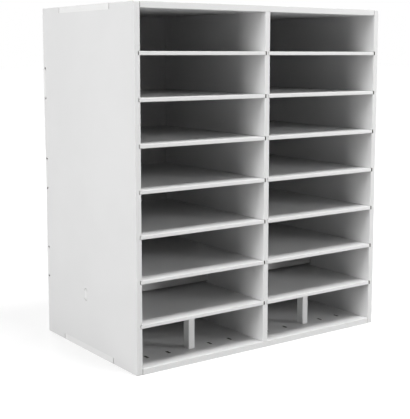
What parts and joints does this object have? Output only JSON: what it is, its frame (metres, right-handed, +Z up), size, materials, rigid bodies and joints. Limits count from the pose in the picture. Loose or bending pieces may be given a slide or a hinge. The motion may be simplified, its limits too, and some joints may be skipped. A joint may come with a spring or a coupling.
{
  "type": "mail sorter",
  "caption": "Upright open-fronted mail sorter of slotted white boards, with loose shelves in grooves on both sides of a centre divider.",
  "frame": {"origin": "middle of the footprint, on the surface that the sorter stands on", "axes": "+Z up; the open front faces -Y; +X to the right as seen from the front"},
  "size_m": [0.505, 0.3, 0.567],
  "materials": {
    "white_carcass_board": "fibreboard with a smooth matt white coat, edges coated too",
    "white_shelf_board": "thin fibreboard with a smooth matt white coat",
    "white_post": "small block with a smooth matt white coat"
  },
  "bodies": {
    "carcass": {"left_side_panel": "white_carcass_board", "right_side_panel": "white_carcass_board", "centre_divider": "white_carcass_board", "top_panel": "white_carcass_board", "bottom_panel": "white_carcass_board", "back_panel": "white_carcass_board", "tie_rail": "white_carcass_board"},
    "shelf_left_1": {"shelf_left_1": "white_shelf_board"},
    "shelf_left_2": {"shelf_left_2": "white_shelf_board"},
    "shelf_left_3": {"shelf_left_3": "white_shelf_board"},
    "shelf_left_4": {"shelf_left_4": "white_shelf_board"},
    "shelf_left_5": {"shelf_left_5": "white_shelf_board"},
    "shelf_left_6": {"shelf_left_6": "white_shelf_board"},
    "shelf_left_7": {"shelf_left_7": "white_shelf_board"},
    "shelf_right_1": {"shelf_right_1": "white_shelf_board"},
    "shelf_right_2": {"shelf_right_2": "white_shelf_board"},
    "shelf_right_3": {"shelf_right_3": "white_shelf_board"},
    "shelf_right_4": {"shelf_right_4": "white_shelf_board"},
    "shelf_right_5": {"shelf_right_5": "white_shelf_board"},
    "shelf_right_6": {"shelf_right_6": "white_shelf_board"},
    "shelf_right_7": {"shelf_right_7": "white_shelf_board"},
    "post_left": {"post_left": "white_post"},
    "post_right": {"post_right": "white_post"}
  },
  "joints": [
    {"name": "shelf_left_1_slide", "type": "slide", "parent": "carcass", "child": "shelf_left_1", "axis": [0, -1, 0], "range_m": [0, 0.3]},
    {"name": "shelf_left_2_slide", "type": "slide", "parent": "carcass", "child": "shelf_left_2", "axis": [0, -1, 0], "range_m": [0, 0.3]},
    {"name": "shelf_left_3_slide", "type": "slide", "parent": "carcass", "child": "shelf_left_3", "axis": [0, -1, 0], "range_m": [0, 0.3]},
    {"name": "shelf_left_4_slide", "type": "slide", "parent": "carcass", "child": "shelf_left_4", "axis": [0, -1, 0], "range_m": [0, 0.3]},
    {"name": "shelf_left_5_slide", "type": "slide", "parent": "carcass", "child": "shelf_left_5", "axis": [0, -1, 0], "range_m": [0, 0.3]},
    {"name": "shelf_left_6_slide", "type": "slide", "parent": "carcass", "child": "shelf_left_6", "axis": [0, -1, 0], "range_m": [0, 0.3]},
    {"name": "shelf_left_7_slide", "type": "slide", "parent": "carcass", "child": "shelf_left_7", "axis": [0, -1, 0], "range_m": [0, 0.3]},
    {"name": "shelf_right_1_slide", "type": "slide", "parent": "carcass", "child": "shelf_right_1", "axis": [0, -1, 0], "range_m": [0, 0.3]},
    {"name": "shelf_right_2_slide", "type": "slide", "parent": "carcass", "child": "shelf_right_2", "axis": [0, -1, 0], "range_m": [0, 0.3]},
    {"name": "shelf_right_3_slide", "type": "slide", "parent": "carcass", "child": "shelf_right_3", "axis": [0, -1, 0], "range_m": [0, 0.3]},
    {"name": "shelf_right_4_slide", "type": "slide", "parent": "carcass", "child": "shelf_right_4", "axis": [0, -1, 0], "range_m": [0, 0.3]},
    {"name": "shelf_right_5_slide", "type": "slide", "parent": "carcass", "child": "shelf_right_5", "axis": [0, -1, 0], "range_m": [0, 0.3]},
    {"name": "shelf_right_6_slide", "type": "slide", "parent": "carcass", "child": "shelf_right_6", "axis": [0, -1, 0], "range_m": [0, 0.3]},
    {"name": "shelf_right_7_slide", "type": "slide", "parent": "carcass", "child": "shelf_right_7", "axis": [0, -1, 0], "range_m": [0, 0.3]},
    {"name": "post_left_lift", "type": "slide", "parent": "carcass", "child": "post_left", "axis": [0, 0, 1], "range_m": [0, 0.008]},
    {"name": "post_right_lift", "type": "slide", "parent": "carcass", "child": "post_right", "axis": [0, 0, 1], "range_m": [0, 0.008]}
  ]
}
